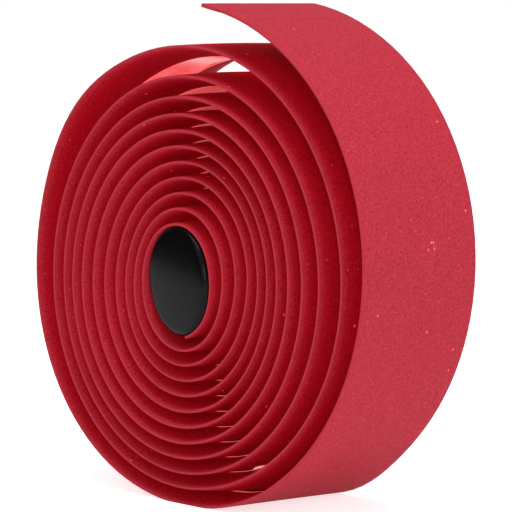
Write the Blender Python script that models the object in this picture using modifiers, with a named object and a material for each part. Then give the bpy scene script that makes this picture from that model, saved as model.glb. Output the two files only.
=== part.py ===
"""A roll of padded cork handlebar tape with a bar-end plug pushed into its core.

Lengths are in metres and +Z is up. The roll stands on its rim with its axis
along Y, and the side that holds the plug faces -Y. The origin is the middle of
the roll's underside.
"""

import math

import bmesh
import bpy

# Tape section: flat on its outer side, and thicker in the middle towards the core
TAPE_WIDTH = 0.030
TAPE_THICKNESS = 0.0021  # across the level middle of the strip
TAPE_EDGE = 0.0007  # at its thin edges
TAPE_LEVEL = 0.015  # width of the level middle

# Winding, from the inner end at the bottom of the core
TURNS = 11.485
CORE_RADIUS = 0.00795  # to the middle of the tape's thin edges
TURN_GAP = 0.00085  # air between two turns, where the liner lies
OVAL = 0.0017  # how much further each turn reaches up and down than sideways
LEAN = 0.0005  # how far the outer ovals lean over
LEAN_CHANGE = 0.0007  # how much less the innermost one does
WANDER = 0.0006  # how far the turns slide out of line along the axis
WANDER_TURNS = 7.1
WANDER_PEAK = 3.4

# Loosening: each turn is held at the bottom and lifts off round the top
LOOSENESS = 0.0041  # of the last whole turn
LOOSENESS_RATIO = 0.34  # from each turn to the one inside it
LOOSENESS_SHARPNESS = 3.4
HOLD = 0.011  # turns past the bottom
FREE_TURNS = 0.54  # length of the free end
FREE_LIFT = 0.0084
FREE_SHARPNESS = 1.1
TAIL_TURNS = 0.09  # last stretch, which straightens out
TAIL_LIFT = 0.0010

# Dents and bulges: where each one is along the winding, how far out and how long
INNER_END_DROP = 0.00042  # pressed down by the plug
INNER_END_LENGTH = 0.05
SHOULDER_PLACE = 10.622  # upper left of the outermost turn
SHOULDER_LIFT = 0.00145
SHOULDER_LENGTH = 0.06
HEEL_PLACE = 11.06  # lower right of the outermost turn, most at its far edge
HEEL_LIFT = 0.00072
HEEL_TWIST = 0.042  # radians, about the line of the tape
HEEL_LENGTH = 0.045
FLAT_DEPTH = 0.0004  # foam pressed flat where the roll stands

# Release liner behind the tape
LINER_WIDTH = 0.011
LINER_THICKNESS = 0.0001
LINER_GAP = 0.00016  # between the liner and the back of the tape
LINER_SETBACK = 1  # steps of the winding that it stops short of each end

# Bar-end plug
PLUG_PROUD = 0.0009  # from the tape's edge out to the middle of the plug's face
PLUG_TILT = 0.087  # radians: its right side stands out, and its left is pushed in
PLUG_FIT = 0.00045  # from the tape's thin edge to the head, above, below and on the right
PLUG_SLACK = 0.0006  # and on the left, where it lies deeper
PLUG_DOME = 0.0003
HEAD_ROUND = 0.0011
HEAD_SIDE = 0.00015  # straight side below the round edge
HEAD_WALL = 0.0018
HEAD_CHAMFER = 0.0004
SHANK_LENGTH = 0.0120
SHANK_WALL = 0.0012
SHANK_TAPER = 0.0006
TIP_CHAMFER = 0.0005
FIN_COUNT = 8
FIN_HEIGHT = 0.0010
FIN_THICKNESS = 0.0009
FIN_LENGTH = 0.0085
SLOT_COUNT = 4
SLOT_WIDTH = 0.0016
SLOT_LENGTH = 0.0070

# Fineness of the faces
STEPS_PER_TURN = 32
SHORTEST_STEP = 0.2  # share of a step that the tape's end still gets
PLUG_STEPS = 40
ARC_STEPS = 5

PITCH = TAPE_THICKNESS + TURN_GAP
HEAD_DEPTH = PLUG_DOME + HEAD_ROUND + HEAD_SIDE
PLUG_LENGTH = HEAD_DEPTH + SHANK_LENGTH
ROLL_TO_WORLD = (math.pi / 2, 0.0, 0.0)  # local Z, the roll's axis, faces -Y


def lift_off(turns, sharpness):
    """How far a turn has opened: 0 where it is held, 1 half a turn further."""
    return 1.0 - (0.5 + 0.5 * math.cos(math.tau * turns)) ** sharpness


def bump(turns, place, length):
    """Smooth bump along the winding: 1 at its place, next to 0 two lengths away."""
    return math.exp(-(((turns - place) / length) ** 2))


def tape_radius(turns):
    """Distance from the roll's centre to the middle of the tape's thin edges."""
    angle = math.tau * turns - math.pi / 2
    lean = LEAN - LEAN_CHANGE * math.exp(-turns * turns / 2)
    radius = CORE_RADIUS + PITCH * turns
    radius += OVAL * math.sin(angle) ** 2 + lean * math.sin(2 * angle)
    radius += INNER_END_DROP * bump(turns, 0.0, INNER_END_LENGTH)
    radius += SHOULDER_LIFT * bump(turns, SHOULDER_PLACE, SHOULDER_LENGTH)
    radius += HEEL_LIFT * bump(turns, HEEL_PLACE, HEEL_LENGTH)
    held_turn = math.floor(turns - HOLD)
    last_held_turn = math.floor(TURNS - 0.5)
    if held_turn <= last_held_turn:
        looseness = LOOSENESS * LOOSENESS_RATIO ** (last_held_turn - held_turn)
        radius += looseness * lift_off(turns - HOLD, LOOSENESS_SHARPNESS)
    free = turns - (TURNS - FREE_TURNS)
    if free > 0:
        radius += FREE_LIFT * lift_off(free, FREE_SHARPNESS)
    tail = max(0.0, turns - (TURNS - TAIL_TURNS)) / TAIL_TURNS
    return radius + TAIL_LIFT * tail**2


def winding_point(turns):
    """Point of the winding in the roll's own axes: across, up, along its axis."""
    angle = math.tau * turns - math.pi / 2
    radius = tape_radius(turns)
    slide = WANDER * math.cos(math.tau * (turns - WANDER_PEAK) / WANDER_TURNS)
    return (radius * math.cos(angle), radius * math.sin(angle), -slide)


def winding(setback=0):
    """Turns at each step along the winding, short of its ends by so many steps."""
    steps = math.floor(TURNS * STEPS_PER_TURN)
    turns = [step / STEPS_PER_TURN for step in range(setback, steps + 1 - setback)]
    if setback == 0 and TURNS - turns[-1] > SHORTEST_STEP / STEPS_PER_TURN:
        turns.append(TURNS)
    return turns


def roll_centre():
    """Where the winding's centre goes, so that the object is centred over its foot."""
    points = [winding_point(turns) for turns in winding()]
    across = [point[0] for point in points]
    lowest = min(point[1] for point in points) - TAPE_EDGE / 2
    half_width = plug_oval()[2]
    raised_side = (half_width - HEAD_ROUND) * math.sin(PLUG_TILT) - PLUG_DOME
    plug_beyond_tape = PLUG_PROUD + raised_side - WANDER
    return (-(min(across) + max(across)) / 2, plug_beyond_tape / 2, -lowest - FLAT_DEPTH)


def new_collection(name):
    collection = bpy.data.collections.new(name)
    bpy.context.scene.collection.children.link(collection)
    return collection


def new_material(name, colour, roughness):
    material = bpy.data.materials.new(name)
    material.use_nodes = True
    shader = material.node_tree.nodes["Principled BSDF"]
    shader.inputs["Base Color"].default_value = (*colour, 1.0)
    shader.inputs["Roughness"].default_value = roughness
    shader.inputs["Metallic"].default_value = 0.0
    return material


def add_object(name, data, collection, material=None):
    obj = bpy.data.objects.new(name, data)
    collection.objects.link(obj)
    if material is not None:
        data.materials.append(material)
    return obj


def hide_cutter(obj):
    obj.hide_render = True
    obj.display_type = "WIRE"


def section_curve(name, outline, collection):
    """Closed flat outline that a strip is drawn through."""
    curve = bpy.data.curves.new(name, "CURVE")
    curve.dimensions = "2D"
    spline = curve.splines.new("POLY")
    spline.points.add(len(outline) - 1)
    for point, (out, along) in zip(spline.points, outline):
        point.co = (out, along, 0.0, 1.0)
    spline.use_cyclic_u = True
    section = add_object(name, curve, collection)
    hide_cutter(section)
    return section


def strip(name, section, turns, collection, material):
    """Strip with a constant section along the winding, as a closed mesh."""
    curve = bpy.data.curves.new(name + "_path", "CURVE")
    curve.dimensions = "3D"
    curve.twist_mode = "Z_UP"
    curve.bevel_mode = "OBJECT"
    curve.bevel_object = section
    curve.use_fill_caps = True
    spline = curve.splines.new("POLY")
    spline.points.add(len(turns) - 1)
    for point, value in zip(spline.points, turns):
        point.co = (*winding_point(value), 1.0)
        point.tilt = -HEEL_TWIST * bump(value, HEEL_PLACE, HEEL_LENGTH)
    guide = add_object(name + "_path", curve, collection)
    guide.location = roll_centre()
    guide.rotation_euler = ROLL_TO_WORLD
    bpy.context.view_layer.update()

    depsgraph = bpy.context.evaluated_depsgraph_get()
    mesh = bpy.data.meshes.new_from_object(guide.evaluated_get(depsgraph))
    welded = bmesh.new()
    welded.from_mesh(mesh)
    bmesh.ops.remove_doubles(welded, verts=welded.verts, dist=0.000001)
    bmesh.ops.recalc_face_normals(welded, faces=welded.faces)
    welded.to_mesh(mesh)
    welded.free()
    mesh.name = name
    mesh.shade_smooth()
    mesh.set_sharp_from_angle(angle=math.radians(35))
    solid = add_object(name, mesh, collection, material)
    solid.matrix_world = guide.matrix_world
    bpy.data.objects.remove(guide)
    return solid


def boolean(obj, other, operation):
    modifier = obj.modifiers.new(other.name, "BOOLEAN")
    modifier.operation = operation
    modifier.solver = "EXACT"
    modifier.object = other


def make_tape(parts, cutters, material):
    """Padded strip, thick in the middle, thin at its edges, flat where it stands."""
    outer = TAPE_EDGE / 2
    inner = outer - TAPE_THICKNESS
    level = TAPE_LEVEL / 2
    side = TAPE_WIDTH / 2
    outline = [(outer, -side), (outer, side), (-outer, side)]
    outline += [(inner, level), (inner, -level), (-outer, -side)]
    section = section_curve("tape_section", outline, cutters)
    tape = strip("cork_tape", section, winding(), parts, material)

    floor_mesh = bpy.data.meshes.new("floor_cutter")
    block = bmesh.new()
    bmesh.ops.create_cube(block, size=1.0)
    block.to_mesh(floor_mesh)
    block.free()
    floor = add_object("floor_cutter", floor_mesh, cutters)
    floor.scale = (4 * roll_centre()[2], 2 * TAPE_WIDTH, 4 * FLAT_DEPTH)
    floor.location = (0.0, 0.0, -2 * FLAT_DEPTH)
    hide_cutter(floor)
    boolean(tape, floor, "DIFFERENCE")
    return tape


def make_liner(parts, cutters, material):
    """Thin paper strip on the inner side of the tape, over its glue line."""
    near = TAPE_THICKNESS - TAPE_EDGE / 2 + LINER_GAP
    far = near + LINER_THICKNESS
    side = LINER_WIDTH / 2
    outline = [(-near, -side), (-near, side), (-far, side), (-far, -side)]
    section = section_curve("liner_section", outline, cutters)
    return strip("release_liner", section, winding(LINER_SETBACK), parts, material)


def core_face(turns):
    """Distance from the roll's centre to the tape's edge on the inner side."""
    return tape_radius(turns) - TAPE_EDGE / 2


def plug_oval():
    """Centre of the plug in the roll's axes, its half width and its half height."""
    right = core_face(0.25) - PLUG_FIT
    top = core_face(0.5) - PLUG_FIT
    left = core_face(0.75) - PLUG_SLACK
    bottom = core_face(0.0) - PLUG_FIT
    return ((right - left) / 2, (top - bottom) / 2, (right + left) / 2, (top + bottom) / 2)


def fin_reach(half_width):
    """Half width across the fins, clear of the thick of the tape and its liner."""
    crown = TAPE_THICKNESS - TAPE_EDGE
    swing = PLUG_LENGTH * math.sin(PLUG_TILT) / 2
    return half_width - crown - LINER_GAP - LINER_THICKNESS - swing


def plug_profile(half_width):
    """Half section of the plug, from the middle of its face down and back up inside."""
    shank = fin_reach(half_width) - FIN_HEIGHT
    tip = shank - SHANK_TAPER
    face = half_width - HEAD_ROUND
    ceiling = -PLUG_DOME - HEAD_WALL
    profile = []
    for step in range(ARC_STEPS + 1):
        share = step / ARC_STEPS
        profile.append((face * share, -PLUG_DOME * share**2))
    for step in range(1, ARC_STEPS + 1):
        angle = math.pi / 2 * step / ARC_STEPS
        drop = HEAD_ROUND * (1 - math.cos(angle))
        profile.append((face + HEAD_ROUND * math.sin(angle), -PLUG_DOME - drop))
    profile.append((half_width, -HEAD_DEPTH))
    profile.append((shank, -HEAD_DEPTH - HEAD_CHAMFER))
    profile.append((tip + TIP_CHAMFER, -PLUG_LENGTH + 2 * TIP_CHAMFER))
    profile.append((tip, -PLUG_LENGTH))
    profile.append((tip - SHANK_WALL, -PLUG_LENGTH))
    profile.append((shank - SHANK_WALL, ceiling))
    profile.append((0.0, ceiling))
    return profile


def spokes(name, count, first, thickness, reach, span, slope, cutters):
    """Blocks standing round the plug's axis like spokes, sloped up at their far ends.

    The reach is from the axis to each block's near and far side, and the span is
    from its lower to its upper end.
    """
    mesh = bpy.data.meshes.new(name)
    blocks = bmesh.new()
    for index in range(count):
        angle = first + math.tau * index / count
        for vert in bmesh.ops.create_cube(blocks, size=1.0)["verts"]:
            out = reach[0] + (reach[1] - reach[0]) * (vert.co.x + 0.5)
            across = thickness * vert.co.y
            height = span[0] + (span[1] - span[0]) * (vert.co.z + 0.5)
            if vert.co.x > 0 and vert.co.z < 0:
                height += slope
            vert.co.x = out * math.cos(angle) - across * math.sin(angle)
            vert.co.y = out * math.sin(angle) + across * math.cos(angle)
            vert.co.z = height
    blocks.to_mesh(mesh)
    blocks.free()
    obj = add_object(name, mesh, cutters)
    hide_cutter(obj)
    return obj


def make_plug(parts, cutters, material):
    """Domed oval head on a hollow shank with fins, split at its end by slots."""
    offset_across, offset_up, half_width, half_height = plug_oval()
    profile = plug_profile(half_width)
    mesh = bpy.data.meshes.new("end_plug")
    edges = [(index, index + 1) for index in range(len(profile) - 1)]
    mesh.from_pydata([(radius, 0.0, height) for radius, height in profile], edges, [])
    plug = add_object("end_plug", mesh, parts, material)

    turned = plug.modifiers.new("turned", "SCREW")
    turned.axis = "Z"
    turned.angle = math.tau
    turned.steps = PLUG_STEPS
    turned.render_steps = PLUG_STEPS
    turned.use_merge_vertices = True
    turned.merge_threshold = 0.000001

    tips = fin_reach(half_width)
    shank = tips - FIN_HEIGHT
    root = shank - (SHANK_WALL + SHANK_TAPER) / 2
    fin_span = (-HEAD_DEPTH - FIN_LENGTH, -(HEAD_DEPTH + PLUG_DOME) / 2)
    fins = spokes("plug_fins", FIN_COUNT, math.pi / FIN_COUNT, FIN_THICKNESS,
                  (root, tips), fin_span, FIN_HEIGHT, cutters)
    slot_span = (-PLUG_LENGTH - FIN_HEIGHT, -PLUG_LENGTH + SLOT_LENGTH)
    slots = spokes("plug_slots", SLOT_COUNT, 0.0, SLOT_WIDTH,
                   (shank / 2, half_width), slot_span, 0.0, cutters)
    boolean(plug, fins, "UNION")
    boolean(plug, slots, "DIFFERENCE")

    centre = roll_centre()
    face = centre[1] - TAPE_WIDTH / 2 - PLUG_PROUD
    for piece in (plug, fins, slots):
        piece.location = (centre[0] + offset_across, face, centre[2] + offset_up)
        piece.rotation_euler = ROLL_TO_WORLD
        piece.rotation_euler.z = -PLUG_TILT
        piece.scale = (1.0, half_height / half_width, 1.0)
    return plug


def main():
    for obj in list(bpy.data.objects):
        bpy.data.objects.remove(obj)
    parts = new_collection("cork_tape_roll")
    cutters = new_collection("cutters")
    cork = new_material("red_cork", (0.42, 0.02, 0.035), 0.85)
    paper = new_material("liner_paper", (0.72, 0.20, 0.20), 0.55)
    plastic = new_material("black_plastic", (0.012, 0.012, 0.013), 0.22)
    make_tape(parts, cutters, cork)
    make_liner(parts, cutters, paper)
    make_plug(parts, cutters, plastic)


main()
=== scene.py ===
import math

import bmesh
import bpy
import numpy as np
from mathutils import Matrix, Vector


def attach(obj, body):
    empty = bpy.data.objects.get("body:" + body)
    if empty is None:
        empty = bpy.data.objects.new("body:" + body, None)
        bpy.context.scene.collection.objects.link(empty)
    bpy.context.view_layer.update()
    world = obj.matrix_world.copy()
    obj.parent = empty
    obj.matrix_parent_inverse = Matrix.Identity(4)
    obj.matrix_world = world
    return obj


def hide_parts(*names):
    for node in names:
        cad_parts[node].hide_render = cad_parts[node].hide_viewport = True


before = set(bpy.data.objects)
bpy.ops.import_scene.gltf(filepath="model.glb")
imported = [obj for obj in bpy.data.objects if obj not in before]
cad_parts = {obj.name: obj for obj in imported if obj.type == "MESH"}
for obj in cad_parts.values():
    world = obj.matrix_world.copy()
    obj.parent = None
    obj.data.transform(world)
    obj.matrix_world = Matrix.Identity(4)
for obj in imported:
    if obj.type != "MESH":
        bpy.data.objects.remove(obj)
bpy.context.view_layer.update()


# The tape
# One long strip of red cork foam, 30 mm wide, thicker in the middle on its inner side and
# wound eleven and a half times from the bottom of the core. Each turn is held at the
# bottom, where its outer side swells a little, and lifts off round the top.

TAPE_WIDTH = 0.030
TAPE_THICKNESS = 0.0021  # across the level middle of the strip
TAPE_OUTER = 0.00035  # from the wound line to the outer face
TAPE_EDGE = 0.00042  # thickness at its edges
TAPE_LEVEL = 0.012  # width of the level middle
TAPER_POWER = 1.35
EDGE_ROUND = 0.00014
EDGE_RIPPLE = 0.00006  # waviness of the cut edges
EDGE_RIPPLE_POWER = 8  # how close it keeps to them
TAPE_STEPS_PER_TURN = 104

TURNS = 11.485
CORE_RADIUS = 0.00795
PITCH = 0.00295
OVAL = 0.0017  # how much further each turn reaches up and down than sideways
LEAN = 0.0005  # how far the outer ovals lean over
LEAN_CHANGE = 0.0007  # how much less the innermost one does
WANDER = 0.0006  # how far the turns slide out of line along the axis
WANDER_TURNS = 7.1
WANDER_PEAK = 3.4
LOOSENESS = 0.0041  # of the last whole turn
LOOSENESS_RATIO = 0.34  # from each turn to the one inside it
LOOSENESS_SHARPNESS = 3.4
HOLD = 0.011  # turns past the bottom
FREE_TURNS = 0.54
FREE_LIFT = 0.0084
FREE_SHARPNESS = 1.1
TAIL_TURNS = 0.09
TAIL_LIFT = 0.0010
INNER_END_DROP = 0.00052
INNER_END_LENGTH = 0.05
INNER_END_CUT = 0.030  # turns that the strip starts late
FREE_END_CUT = 0.0022  # turns that it stops early
FREE_END_SWELL = 0.00024
FREE_END_LENGTH = 0.03
SHOULDER_PLACE = 10.622
SHOULDER_LIFT = 0.00145
SHOULDER_LENGTH = 0.06
HEEL_PLACE = 11.06
HEEL_LIFT = 0.00072
HEEL_TWIST = 0.042
HEEL_LENGTH = 0.045
FLAT_DEPTH = 0.0004  # foam pressed flat where the roll stands
TRIM = 0.9982
SET_LEFT = 0.000086
SET_BACK = 0.000324

BULGE_PLACE = 0.03  # turns past the bottom
BULGE_LENGTH = 0.11
BULGE_CLEARANCE = 0.00040
BULGE_ROUND = 0.00045  # swelling all round a turn
BULGED_TURNS = 10.72
BULGE_FADE = 0.4

# Painted shade and painted light: the first colour below is the foam painted shaded deep in the
# roll, the second the same foam painted lit at its edges and on the roll's outside
CORK_PAINTED_SHADE = (0.460, 0.004, 0.014, 1.0)
CORK_PAINTED_LIT = (0.490, 0.027, 0.048, 1.0)
CORK_EDGE = (0.510, 0.028, 0.048, 1.0)
CORK_FLECK = (1.000, 0.170, 0.140, 1.0)
CORK_DUST = (0.720, 0.090, 0.100, 1.0)
CORK_SPECK = (0.160, 0.002, 0.005, 1.0)
GRAIN_DARK = (0.660, 0.200, 0.280, 1.0)
GRAIN_PALE = (1.340, 1.800, 1.720, 1.0)
RIM_WIDTH = 0.0002
OPEN_DEPTH = 0.0009  # how far in from an edge the foam is painted lit
OUTSIDE_TURNS = 0.93  # length of the roll's own outside, which is painted lit
OUTSIDE_FADE = 0.12
# Painted light: the deep parts glow a little to lift their painted shade, and their sheen is
# lowered deep in as painted shade of its reflections
INNER_GLOW = 0.12
DEEP_SHEEN = 0.02
OPEN_SHEEN = 0.15
# Painted shade: a dark line across the strip near its free end, where it is creased
CREASE_FROM_END = 0.0108
CREASE_HALF_WIDTH = 0.00022
CREASE_SHADE = 0.7
SCUFF_FROM_END = 0.0650
SCUFF_ACROSS = 0.0031
SCUFF_RADIUS = 0.0014
# Cells per metre, radius as a share of a cell, share of the cells left plain, colour,
# and whether only the scuff has them
FLECKS = (
    (900.0, 0.150, 0.940, CORK_SPECK, False),
    (520.0, 0.100, 0.955, CORK_DUST, False),
    (230.0, 0.070, 0.955, CORK_FLECK, False),
    (1500.0, 0.480, 0.620, CORK_FLECK, True),
)


def lift_off(turns, sharpness):
    """0 where a turn is held, 1 half a turn further: 1 - ((1 + cos) / 2) ^ sharpness."""
    return 1 - (0.5 + 0.5 * np.cos(math.tau * turns)) ** sharpness


def bump(places, place, length):
    """1 at its place and next to 0 two lengths away: e ^ -(distance / length)^2."""
    return np.exp(-(((places - place) / length) ** 2))


def winding_radius(turns):
    """Centre to mid edge: an even spiral made oval, plus its bulges and its lift-off."""
    angle = math.tau * turns - math.pi / 2
    lean = LEAN - LEAN_CHANGE * np.exp(-turns**2 / 2)
    radius = CORE_RADIUS + PITCH * turns + OVAL * np.sin(angle) ** 2 + lean * np.sin(2 * angle)
    radius += INNER_END_DROP * bump(turns, 0, INNER_END_LENGTH)
    radius += SHOULDER_LIFT * bump(turns, SHOULDER_PLACE, SHOULDER_LENGTH)
    radius += HEEL_LIFT * bump(turns, HEEL_PLACE, HEEL_LENGTH)
    held_turn = np.floor(turns - HOLD)
    last_held_turn = math.floor(TURNS - 0.5)
    looseness = LOOSENESS * LOOSENESS_RATIO ** (last_held_turn - held_turn)
    held = held_turn <= last_held_turn
    radius += np.where(held, looseness, 0) * lift_off(turns - HOLD, LOOSENESS_SHARPNESS)
    free = np.maximum(0, turns - (TURNS - FREE_TURNS))
    tail = np.maximum(0, turns - (TURNS - TAIL_TURNS)) / TAIL_TURNS
    return radius + FREE_LIFT * lift_off(free, FREE_SHARPNESS) + TAIL_LIFT * tail**2


def winding(turns):
    """Mid points and outward normals: radius times (cos, sin), slid along Y by a slow cosine.

    The width is trimmed a little, so that the smooth turns stay in the part's own box.
    """
    angle = math.tau * turns - math.pi / 2
    radius = winding_radius(turns)
    slide = WANDER * np.cos(math.tau * (turns - WANDER_PEAK) / WANDER_TURNS)
    middle = np.stack([TRIM * radius * np.cos(angle), slide, radius * np.sin(angle)], axis=1)
    along = np.gradient(middle[:, [0, 2]], axis=0)
    along /= np.linalg.norm(along, axis=1, keepdims=True)
    normal = np.stack([along[:, 1], np.zeros(len(turns)), -along[:, 0]], axis=1)
    return middle, normal


def length_along(points):
    """Distance from the first point to each, as the running sum of the steps between."""
    return np.concatenate([[0], np.cumsum(np.linalg.norm(np.diff(points, axis=0), axis=1))])


cad_turns = np.arange(0, TURNS, 1 / 32)
cad_middle = winding(cad_turns)[0]
ROLL_CENTRE = np.array([
    -(cad_middle[:, 0].min() + cad_middle[:, 0].max()) / 2 - SET_LEFT,
    SET_BACK,
    TAPE_OUTER - FLAT_DEPTH - cad_middle[:, 2].min(),
])


def tape_crown(across):
    """Extra thickness inside: full over the level middle, then falling by a power curve."""
    level = TAPE_LEVEL / 2
    taper = np.clip((np.abs(across) - level) / (TAPE_WIDTH / 2 - level), 0, 1)
    return (TAPE_THICKNESS - TAPE_EDGE) * (1 - taper**TAPER_POWER)


def room_behind(turns):
    """Free air between the back of a turn and the face of the turn inside it."""
    inside = np.maximum(turns - 1, 0)
    gap = winding_radius(turns) - winding_radius(inside) - TAPE_THICKNESS
    return np.where(turns < 1, 0, gap)


def outer_bulge(turns):
    """Swelling of a wound turn's outer face, in the middle of its width.

    It is a little all round and most of the free air at the bottom, and it fades out
    before the free end.
    """
    room = np.maximum(0, room_behind(turns + 1) - BULGE_CLEARANCE)
    place = (turns - BULGE_PLACE + 0.5) % 1 - 0.5
    swell = np.maximum(np.minimum(room, BULGE_ROUND), room * bump(place, 0, BULGE_LENGTH))
    return swell * np.clip((BULGED_TURNS - turns) / BULGE_FADE, 0, 1)


def ring_of_strip(width, thickness, corner, crown, columns, arc_steps):
    """Closed outline of a strip: flat outer face, cut edge, crowned inner face, cut edge.

    Gives the place across the strip and the height above its middle for each point.
    The corners are quarter circles, and the second edge is the first turned half round.
    """
    half = thickness / 2
    side = width / 2 - corner
    across = np.linspace(-side, side, columns)
    outer = np.stack([across, np.full(columns, half)])
    arc = np.linspace(0, math.pi / 2, arc_steps + 1)
    upper = np.stack([side + corner * np.sin(arc), half - corner + corner * np.cos(arc)])[:, 1:]
    lower = np.stack([upper[0, ::-1], -upper[1, ::-1]])
    edge = np.concatenate([upper, lower], axis=1)
    inner = np.stack([across[::-1], -half - crown(across[::-1])])
    return np.concatenate([outer, edge, inner, -edge], axis=1)


def strip_mesh(name, points, uv_rows, uv_columns, sharp_angle):
    """Mesh of a grid of points: rows along the strip, each row a closed ring.

    Each end is closed by one face round its ring, facing away from the strip.
    """
    rows, ring = points.shape[:2]
    index = np.arange(rows * ring).reshape(rows, ring)
    around = np.roll(index, -1, axis=1)
    sides = np.stack([index[:-1], around[:-1], around[1:], index[1:]], axis=-1)
    faces = sides.reshape(-1, 4).tolist() + [index[0, ::-1].tolist(), index[-1].tolist()]
    mesh = bpy.data.meshes.new(name)
    mesh.from_pydata(points.reshape(-1, 3), [], faces)
    layer = mesh.uv_layers.new(name="strip")
    corner = np.empty(len(mesh.loops), np.int32)
    mesh.loops.foreach_get("vertex_index", corner)
    uv = np.stack([np.repeat(uv_rows, ring), np.tile(uv_columns, rows)], axis=1)
    layer.data.foreach_set("uv", uv[corner].ravel())
    mesh.shade_smooth()
    mesh.set_sharp_from_angle(angle=math.radians(sharp_angle))
    return mesh


def place_piece(name, mesh):
    """Object for a mesh, linked at the origin."""
    piece = bpy.data.objects.new(name, mesh)
    bpy.context.scene.collection.objects.link(piece)
    return piece


def store_painted_light(piece, painted_light):
    """Value for each point of how open it lies, which its material reads to paint light and shade.
    """
    values = piece.data.attributes.new("painted_light", "FLOAT", "POINT")
    values.data.foreach_set("value", painted_light.ravel())


def ripple(turns, seed, waves, longest):
    """Slow waviness between -1 and 1: a sum of sines of random length and phase."""
    random = np.random.default_rng(seed)
    total = np.zeros_like(turns)
    for _ in range(waves):
        length = longest / 6 / random.uniform(0.4, 1)
        total += np.sin(math.tau * (turns / length + random.uniform()))
    return total / waves


tape_turns = np.linspace(INNER_END_CUT, TURNS - FREE_END_CUT, int(TURNS * TAPE_STEPS_PER_TURN) + 1)
tape_middle, tape_normal = winding(tape_turns)
tape_middle += ROLL_CENTRE
tape_length = length_along(tape_middle)
tape_across, ring_height = ring_of_strip(TAPE_WIDTH, TAPE_EDGE, EDGE_ROUND, tape_crown, 21, 2)
from_middle_share = np.abs(tape_across) / (TAPE_WIDTH / 2)
edge_ripple = EDGE_RIPPLE * ripple(tape_turns, 3, 5, 1.5)
twist = HEEL_TWIST * bump(tape_turns, HEEL_PLACE, HEEL_LENGTH)
swell_share = np.where(ring_height > 0, 1 - from_middle_share**2, 0)
end_swell = FREE_END_SWELL * bump(tape_turns, TURNS, FREE_END_LENGTH)
tape_height = (
    TAPE_OUTER - TAPE_EDGE / 2 + ring_height
    + edge_ripple[:, None] * from_middle_share**EDGE_RIPPLE_POWER
    + twist[:, None] * tape_across
    + outer_bulge(tape_turns)[:, None] * swell_share
    - end_swell[:, None] * (ring_height < 0)
)
tape_points = (tape_middle[:, None, :]
               + tape_normal[:, None, :] * tape_height[..., None]
               + np.array([0, 1, 0]) * tape_across[None, :, None])
tape_points[..., 2] = np.maximum(tape_points[..., 2], 0)
tape = place_piece("red_tape", strip_mesh("red_tape", tape_points, tape_length, tape_across, 50))
# Painted light: near the cut edges and on the roll's outside the foam is painted lit, elsewhere
# painted shaded
near_edge = np.exp(-(TAPE_WIDTH / 2 - np.abs(tape_across)) / OPEN_DEPTH)
outside = np.clip((tape_turns - (TURNS - OUTSIDE_TURNS)) / OUTSIDE_FADE, 0, 1)
store_painted_light(tape, np.maximum(near_edge[None, :], outside[:, None] * (ring_height > 0)))


def feed(tree, node, inputs):
    """Inputs of a node, each set to a value or linked to a socket."""
    for name, source in inputs.items():
        if isinstance(source, bpy.types.NodeSocket):
            tree.links.new(source, node.inputs[name])
        else:
            node.inputs[name].default_value = source


def add_node(tree, kind, inputs=(), **settings):
    """Node with its settings and its inputs."""
    node = tree.nodes.new(kind)
    for name, value in settings.items():
        setattr(node, name, value)
    feed(tree, node, dict(inputs))
    return node


def ramp(tree, value, start, end, low=0.0, high=1.0):
    """Goes evenly from low to high while the value goes from start to end, and stays there."""
    return add_node(tree, "ShaderNodeMapRange", {
        "Value": value, "From Min": start, "From Max": end, "To Min": low, "To Max": high,
    }).outputs["Result"]


def blend(tree, share, first, second, way="MIX"):
    """Colour that goes from the first to the second by a share."""
    return add_node(tree, "ShaderNodeMix", {0: share, 6: first, 7: second},
                    data_type="RGBA", blend_type=way).outputs[2]


def work_out(tree, operation, first, second=0.0):
    """Result of a sum on one or two numbers."""
    return add_node(tree, "ShaderNodeMath", {0: first, 1: second}, operation=operation).outputs[0]


def new_group(name, inputs, outputs):
    """Empty shader node group with its sockets."""
    group = bpy.data.node_groups.new(name, "ShaderNodeTree")
    for label, kind, value in inputs:
        socket = group.interface.new_socket(label, in_out="INPUT", socket_type=kind)
        if value is not None:
            socket.default_value = value
    for label, kind in outputs:
        group.interface.new_socket(label, in_out="OUTPUT", socket_type=kind)
    return group, group.nodes.new("NodeGroupInput"), group.nodes.new("NodeGroupOutput")


def grain_group():
    """Cloudy grain: a coarse and a fine noise, mixed, as a mask and as a bumped normal."""
    group, entry, result = new_group(
        "grain",
        [("Place", "NodeSocketVector", None), ("Coarse Scale", "NodeSocketFloat", 900.0),
         ("Fine Scale", "NodeSocketFloat", 2600.0), ("Fine Share", "NodeSocketFloat", 0.5),
         ("Depth", "NodeSocketFloat", 0.00002)],
        [("Mask", "NodeSocketFloat"), ("Normal", "NodeSocketVector")])
    given = entry.outputs
    coarse = add_node(group, "ShaderNodeTexNoise", {
        "Vector": given["Place"], "Scale": given["Coarse Scale"], "Detail": 4.0})
    fine = add_node(group, "ShaderNodeTexNoise", {
        "Vector": given["Place"], "Scale": given["Fine Scale"], "Detail": 3.0})
    mask = add_node(group, "ShaderNodeMix", {
        0: given["Fine Share"], 2: coarse.outputs[0], 3: fine.outputs[0]}).outputs[0]
    bumped = add_node(group, "ShaderNodeBump", {"Height": mask, "Distance": given["Depth"]})
    feed(group, result, {"Mask": mask, "Normal": bumped.outputs[0]})
    return group


GRAIN = grain_group()


def new_surface(name, roughness):
    """Material with a bare Principled shader."""
    material = bpy.data.materials.new(name)
    material.use_nodes = True
    shader = material.node_tree.nodes["Principled BSDF"]
    shader.inputs["Roughness"].default_value = roughness
    return material, material.node_tree, shader


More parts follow.
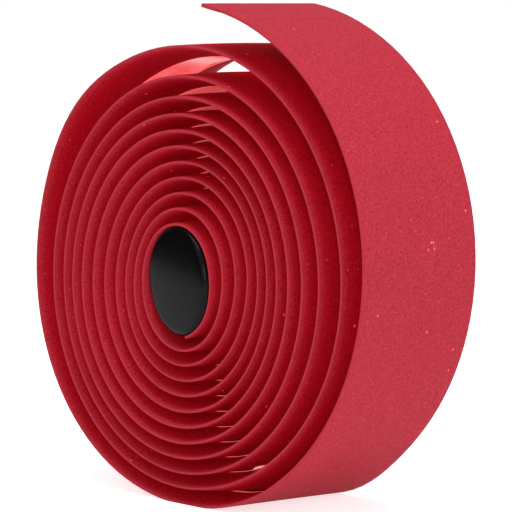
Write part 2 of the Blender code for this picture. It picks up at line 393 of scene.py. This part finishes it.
def cork_surface():
    """Matt red foam: cloudy grain, painted lit and paler where it lies open and painted
    shaded deep in the roll, with pale and dark flecks.

    The flecks are the middles of some cells of a Voronoi pattern along the strip. The
    scuff and the painted shade of the crease are placed by their distance from its free end.
    """
    material, tree, shader = new_surface("red_cork", 0.7)
    place = add_node(tree, "ShaderNodeTexCoord").outputs
    grain = add_node(tree, "ShaderNodeGroup", {
        "Place": place["Object"], "Coarse Scale": 2400.0, "Fine Scale": 6000.0,
        "Fine Share": 0.5, "Depth": 0.00004}, node_tree=GRAIN).outputs
    painted_light = add_node(tree, "ShaderNodeAttribute", attribute_name="painted_light").outputs["Fac"]
    # Painted light and shade: the foam's colour goes from painted shaded to painted lit with how
    # open it lies
    painted_lit_or_shaded = blend(tree, painted_light, CORK_PAINTED_SHADE, CORK_PAINTED_LIT)
    tint = blend(tree, ramp(tree, grain["Mask"], 0.32, 0.68), GRAIN_DARK, GRAIN_PALE)
    colour = blend(tree, 1.0, painted_lit_or_shaded, tint, "MULTIPLY")

    scuff_place = (tape_length[-1] - SCUFF_FROM_END, SCUFF_ACROSS, 0.0)
    from_scuff = add_node(tree, "ShaderNodeVectorMath", {0: place["UV"], 1: scuff_place},
                          operation="DISTANCE").outputs["Value"]
    scuffed = ramp(tree, from_scuff, SCUFF_RADIUS, SCUFF_RADIUS * 0.8)
    for scale, radius, plain, shade, only_scuff in FLECKS:
        cells = add_node(tree, "ShaderNodeTexVoronoi", {
            "Vector": place["UV"], "Scale": scale, "Randomness": 0.9},
            voronoi_dimensions="2D").outputs
        near = ramp(tree, cells["Distance"], radius, radius * 0.5)
        draw = add_node(tree, "ShaderNodeSeparateColor", {"Color": cells["Color"]}).outputs[0]
        fleck = work_out(tree, "MULTIPLY", near, work_out(tree, "GREATER_THAN", draw, plain))
        if only_scuff:
            fleck = work_out(tree, "MULTIPLY", fleck, scuffed)
        colour = blend(tree, fleck, colour, shade)

    strip = add_node(tree, "ShaderNodeSeparateXYZ", {"Vector": place["UV"]}).outputs
    # Painted shade: a dark line across the strip where it is creased
    past_crease = work_out(tree, "SUBTRACT", strip["X"], tape_length[-1] - CREASE_FROM_END)
    from_crease = work_out(tree, "ABSOLUTE", past_crease)
    creased = ramp(tree, from_crease, CREASE_HALF_WIDTH, 0.0, 0.0, CREASE_SHADE)
    colour = blend(tree, creased, colour, CORK_PAINTED_SHADE)
    from_middle = work_out(tree, "ABSOLUTE", strip["Y"])
    rim = ramp(tree, from_middle, TAPE_WIDTH / 2 - RIM_WIDTH, TAPE_WIDTH / 2 - RIM_WIDTH / 2)
    colour = blend(tree, rim, colour, CORK_EDGE)
    # Painted light: a glow lifts the deep parts, and the sheen is lowered deep in as painted shade
    # of its reflections
    feed(tree, shader, {
        "Base Color": colour,
        "Emission Color": colour,
        "Emission Strength": ramp(tree, painted_light, 0.0, 1.0, INNER_GLOW, 0.0),
        "Specular IOR Level": ramp(tree, painted_light, 0.0, 1.0, DEEP_SHEEN, OPEN_SHEEN),
        "Normal": grain["Normal"],
    })
    return material


tape.data.materials.append(cork_surface())
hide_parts("cork_tape")
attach(tape, "root")


# The release liner
# A narrow strip of salmon coated paper that covers the glue line behind the tape. It is
# folded along its middle where the turns stand apart, and crinkled elsewhere, and a
# scrap of its edge sticks out at the bottom.

LINER_WIDTH = 0.011
LINER_THICKNESS = 0.0001
LINER_GAP = 0.00016  # to the back of the tape
LINER_CLEARANCE = 0.00012  # to the turn inside it
LINER_SETBACK = 1 / 32
LINER_STEPS_PER_TURN = 160
FOLD_PLACE = 10.553
FOLD_LENGTH = 0.030
FOLD_DEPTH = 0.0012
FOLD_BACK = 0.4  # share of the half width that the fold takes behind the middle
CRINKLE_LIMIT = 0.0009
CRINKLE_MEAN = 0.5
CRINKLE_SWING = 0.4
LOOSE_PLACE = 10.053
LOOSE_LENGTH = 0.007
LOOSE_REACH = 0.0018
LOOSE_LIFT = 0.0004

# Painted shade, the paper's own salmon and pink, and a painted highlight on its fold and its loose
# scrap, in this order
LINER_PAINTED_SHADE = (0.200, 0.002, 0.005, 1.0)
LINER_SALMON = (0.915, 0.135, 0.145, 1.0)
LINER_PINK = (0.975, 0.230, 0.240, 1.0)
LINER_PAINTED_HIGHLIGHT = (1.000, 0.640, 0.650, 1.0)
# Painted light: a glow where the paper is painted lit, and the place and length of the painted
# highlight on its fold
LINER_GLOW = 0.6
HIGHLIGHT_PLACE = 10.522
HIGHLIGHT_LENGTH = 0.014
LIT_PLACE = 10.57
LIT_LENGTH = 0.16
LIT_FADE = 0.84  # from each turn to the one inside it
LIT_EDGE = 0.0005


liner_turns = np.linspace(LINER_SETBACK, TURNS - LINER_SETBACK,
                          int(TURNS * LINER_STEPS_PER_TURN) + 1)
liner_middle, liner_normal = winding(liner_turns)
liner_middle += ROLL_CENTRE
liner_across, liner_height = ring_of_strip(
    LINER_WIDTH, LINER_THICKNESS, LINER_THICKNESS / 3, np.zeros_like, 13, 1)
across_share = liner_across / (LINER_WIDTH / 2)
spare = np.maximum(0, room_behind(liner_turns) - outer_bulge(liner_turns - 1)
                   - LINER_GAP - LINER_THICKNESS - LINER_CLEARANCE)
fold = FOLD_DEPTH * bump(liner_turns, FOLD_PLACE, FOLD_LENGTH)
fold_shape = np.clip(np.minimum(1 + across_share, 1 - across_share / FOLD_BACK), 0, 1)
crinkle = (np.minimum(spare, CRINKLE_LIMIT)
           * lift_off(liner_turns - BULGE_PLACE, 2)
           * (CRINKLE_MEAN + CRINKLE_SWING * ripple(liner_turns, 11, 4, 0.5))
           * (1 - bump(liner_turns, FOLD_PLACE, 2 * FOLD_LENGTH)))
drop = fold[:, None] * fold_shape + crinkle[:, None] * (1 - np.abs(across_share))
loose_along = bump(liner_turns, LOOSE_PLACE, LOOSE_LENGTH)
loose = loose_along[:, None] * np.clip(-across_share, 0, 1) ** 3
drop = np.clip(drop, 0, spare[:, None]) + LOOSE_LIFT * loose
depth = TAPE_THICKNESS - TAPE_OUTER + LINER_GAP + LINER_THICKNESS / 2 + drop
liner_points = (liner_middle[:, None, :]
                + liner_normal[:, None, :] * (liner_height - depth)[..., None]
                + np.array([0, 1, 0]) * (liner_across - LOOSE_REACH * loose)[..., None])
liner = place_piece("paper_liner", strip_mesh(
    "paper_liner", liner_points, length_along(liner_middle), liner_across, 12))
# Painted light: the paper is painted lit in the outer gaps and along its near edge and painted
# shaded deeper in, with painted highlights on the fold and on the loose scrap
opened = sum(LIT_FADE**step * bump(liner_turns, LIT_PLACE - step, LIT_LENGTH)
             for step in range(int(TURNS)))
near_edge = np.exp(-(liner_across + LINER_WIDTH / 2) / LIT_EDGE)
lit = np.minimum(1, np.maximum(opened[:, None], near_edge[None, :]))
painted_highlight = np.maximum(bump(liner_turns, HIGHLIGHT_PLACE, HIGHLIGHT_LENGTH)[:, None], np.sqrt(loose))
store_painted_light(liner, np.maximum(lit, np.sqrt(loose)) + painted_highlight)


def paper_surface():
    """Coated paper: salmon with paler creases, painted dark as shade where it lies deep
    in the roll.

    A painted light from 0 to 1 takes it out of the painted shade and makes it glow, and
    from 1 to 2 it turns pale as a painted highlight.
    """
    material, tree, shader = new_surface("liner_paper", 0.45)
    place = add_node(tree, "ShaderNodeTexCoord").outputs
    grain = add_node(tree, "ShaderNodeGroup", {
        "Place": place["Object"], "Coarse Scale": 300.0, "Fine Scale": 900.0,
        "Fine Share": 0.4, "Depth": 0.0001}, node_tree=GRAIN).outputs
    painted_light = add_node(tree, "ShaderNodeAttribute", attribute_name="painted_light").outputs["Fac"]
    creased = blend(tree, ramp(tree, grain["Mask"], 0.4, 0.65), LINER_SALMON, LINER_PINK)
    # Painted shade where the value is 0, the paper's own colour where it is 1, and a painted
    # highlight towards 2
    shown = blend(tree, painted_light, LINER_PAINTED_SHADE, creased)
    colour = blend(tree, ramp(tree, painted_light, 1.0, 2.0), shown, LINER_PAINTED_HIGHLIGHT)
    # Painted light: the paper glows where it is painted lit
    feed(tree, shader, {
        "Base Color": colour,
        "Emission Color": colour,
        "Emission Strength": ramp(tree, painted_light, 0.0, 1.0, 0.0, LINER_GLOW),
        "Specular IOR Level": 0.0,
        "Normal": grain["Normal"],
    })
    return material


liner.data.materials.append(paper_surface())
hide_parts("release_liner")
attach(liner, "root")


# The bar-end plug
# A moulded cap of black plastic: a domed oval head on a hollow shank with fins.
# It is pushed into the core of the roll, where it touches the tape all round.

PLUG_SWELL = 0.00036
PLUG_RISE = 0.00034
PLUG_DROP = 0.00044
PLUG_LEFT = 0.00030
PLUG_LEAN = 0.06
PLUG_HEAD_DEPTH = 0.0030
PLUG_FADE = 1.6
WELD_DISTANCE = 0.000002
PLUG_BLACK = (0.0032, 0.0032, 0.0034, 1.0)


def welded_copy(name, node):
    """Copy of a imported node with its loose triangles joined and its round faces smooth.

    Its head is swollen a little, by a step outwards from the middle of its face. Its
    upper half also rises, its lower half drops, its left half moves left, and its top
    leans to the left. All of it fades out towards the back of the head.
    """
    mesh = bpy.data.meshes.new(name)
    joined = bmesh.new()
    joined.from_mesh(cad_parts[node].data)
    bmesh.ops.remove_doubles(joined, verts=joined.verts, dist=WELD_DISTANCE)
    joined.to_mesh(mesh)
    joined.free()
    places = np.empty(len(mesh.vertices) * 3, np.float32)
    mesh.vertices.foreach_get("co", places)
    places = places.reshape(-1, 3)
    depth = (places[:, 1] - places[:, 1].min()) / PLUG_HEAD_DEPTH
    head = places[depth < 1]
    middle = head.mean(axis=0)
    reach = np.linalg.norm(head - middle, axis=1).max()
    right, _, up = (places - middle).T
    fade = np.clip(PLUG_FADE * (1 - depth), 0, 1)
    wide = (PLUG_SWELL * right + PLUG_LEFT * np.minimum(0, right)) / reach
    tall = (PLUG_SWELL * up + PLUG_RISE * np.maximum(0, up) + PLUG_DROP * np.minimum(0, up)) / reach
    places[:, 0] += fade * (wide - PLUG_LEAN * up)
    places[:, 2] += fade * tall
    mesh.vertices.foreach_set("co", places.ravel())
    mesh.update()
    mesh.shade_smooth()
    mesh.set_sharp_from_angle(angle=math.radians(30))
    return place_piece(name, mesh)


def plastic_surface():
    """Glossy black plastic with faint dust-fine unevenness in its gloss."""
    material, tree, shader = new_surface("black_plastic", 0.2)
    place = add_node(tree, "ShaderNodeTexCoord").outputs
    grain = add_node(tree, "ShaderNodeGroup", {
        "Place": place["Object"], "Coarse Scale": 400.0, "Fine Scale": 3000.0,
        "Fine Share": 0.3, "Depth": 0.000004}, node_tree=GRAIN).outputs
    feed(tree, shader, {
        "Base Color": PLUG_BLACK,
        "Roughness": ramp(tree, grain["Mask"], 0.0, 1.0, 0.12, 0.20),
        "Specular IOR Level": 0.15,
        "Normal": grain["Normal"],
    })
    return material


plug = welded_copy("black_plug", "end_plug")
plug.data.materials.append(plastic_surface())
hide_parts("end_plug")
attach(plug, "root")


# The studio
# A white table and a white room, with soft lamps above, in front and behind. Where the
# camera sees them bare they are plain white, and the table keeps a soft shadow.

ROOM_LIGHT = 0.60
BACK_LIGHT = 0.36
WHITE = (1.0, 1.0, 1.0, 1.0)
BLACK = (0.0, 0.0, 0.0, 1.0)
TABLE_SIZE = 6.0
TABLE_PALE = (0.85, 0.85, 0.85, 1.0)
TABLE_LIFT = 0.70  # light that it adds where the camera sees it
TABLE_GLOW = 0.25  # and light that it adds elsewhere
CARD_LEFT = (-0.66, -0.18)
CARD_RIGHT = (-0.11, -0.45)
CARD_HEIGHT = 0.9
LAMP_AIM = (0.0, 0.0, 0.05)
# Place, width, height and watts
LAMPS = {
    "top_lamp": ((0.15, -0.05, 0.75), 0.5, 0.5, 3.0),
    "side_lamp": ((0.55, -0.5, 0.25), 0.04, 0.30, 0.6),
    "back_lamp": ((0.65, 0.40, 0.25), 0.5, 0.5, 0.8),
}


def white_room():
    """World: soft light, weaker from behind the roll, seen as plain white by the camera."""
    world = bpy.data.worlds.new("white_room")
    bpy.context.scene.world = world
    world.use_nodes = True
    tree = world.node_tree
    path = add_node(tree, "ShaderNodeLightPath").outputs
    seen = work_out(tree, "MAXIMUM", path["Is Camera Ray"], path["Is Transmission Ray"])
    way = add_node(tree, "ShaderNodeTexCoord").outputs["Generated"]
    backward = add_node(tree, "ShaderNodeSeparateXYZ", {"Vector": way}).outputs["Y"]
    light = ramp(tree, backward, -0.3, 0.6, ROOM_LIGHT, BACK_LIGHT)
    strength = add_node(tree, "ShaderNodeMix", {0: seen, 2: light, 3: 1.0}).outputs[0]
    feed(tree, tree.nodes["Background"], {"Color": WHITE, "Strength": strength})


def flat_sheet(name, corners):
    """Object of one four-cornered face."""
    mesh = bpy.data.meshes.new(name)
    mesh.from_pydata(corners, [], [(0, 1, 2, 3)])
    return place_piece(name, mesh)


def white_table():
    """Level sheet under the roll: pale and matt, lifted to white where the camera sees it lit."""
    edge = TABLE_SIZE / 2
    table = flat_sheet("table", [(-edge, -edge, 0), (edge, -edge, 0), (edge, edge, 0),
                                 (-edge, edge, 0)])
    material = bpy.data.materials.new("white_table")
    material.use_nodes = True
    tree = material.node_tree
    tree.nodes.clear()
    matt = add_node(tree, "ShaderNodeBsdfDiffuse", {"Color": TABLE_PALE})
    lift = add_node(tree, "ShaderNodeEmission", {"Strength": TABLE_LIFT})
    glow = add_node(tree, "ShaderNodeEmission", {"Strength": TABLE_GLOW})
    path = add_node(tree, "ShaderNodeLightPath")
    added = add_node(tree, "ShaderNodeMixShader", {
        0: path.outputs["Is Camera Ray"], 1: glow.outputs[0], 2: lift.outputs[0]})
    total = add_node(tree, "ShaderNodeAddShader", {0: matt.outputs[0], 1: added.outputs[0]})
    add_node(tree, "ShaderNodeOutputMaterial", {"Surface": total.outputs[0]})
    table.data.materials.append(material)


def black_card():
    """Dark sheet that stands out of view and shows only as a reflection in the plug."""
    card = flat_sheet("black_card", [(*CARD_LEFT, 0), (*CARD_RIGHT, 0), (*CARD_RIGHT, CARD_HEIGHT),
                                     (*CARD_LEFT, CARD_HEIGHT)])
    material, tree, shader = new_surface("black_card", 1.0)
    feed(tree, shader, {"Base Color": BLACK, "Specular IOR Level": 0.0})
    card.data.materials.append(material)
    card.visible_camera = False
    card.visible_diffuse = False
    card.visible_shadow = False
    card.visible_transmission = False


def soft_lamp(name, place, width, height, watts):
    """Area lamp turned towards the roll."""
    data = bpy.data.lights.new(name, "AREA")
    data.shape = "RECTANGLE"
    data.size = width
    data.size_y = height
    data.energy = watts
    lamp = place_piece(name, data)
    lamp.location = place
    lamp.rotation_euler = (Vector(LAMP_AIM) - Vector(place)).to_track_quat("-Z", "Y").to_euler()


white_room()
white_table()
black_card()
for lamp_name, lamp_values in LAMPS.items():
    soft_lamp(lamp_name, *lamp_values)


# The camera
# A long lens close to table height, turned halfway between the roll's open side
# and its outer face.

CAMERA_AZIMUTH = math.radians(46.03)
CAMERA_ELEVATION = math.radians(5.556)
CAMERA_DISTANCE = 0.5019
CAMERA_LENS = 183.83
CAMERA_TARGET = Vector((0.003268, 0.000324, 0.047081))

camera_data = bpy.data.cameras.new("camera")
camera_data.lens = CAMERA_LENS
camera_data.sensor_width = 36.0
camera_data.sensor_fit = "HORIZONTAL"
camera_data.clip_start = 0.01
camera = place_piece("camera", camera_data)
camera.location = CAMERA_TARGET + CAMERA_DISTANCE * Vector((
    math.sin(CAMERA_AZIMUTH) * math.cos(CAMERA_ELEVATION),
    -math.cos(CAMERA_AZIMUTH) * math.cos(CAMERA_ELEVATION),
    math.sin(CAMERA_ELEVATION)))
camera.rotation_euler = (CAMERA_TARGET - camera.location).to_track_quat("-Z", "Y").to_euler()
bpy.context.scene.camera = camera
bpy.context.scene.view_settings.view_transform = "Standard"
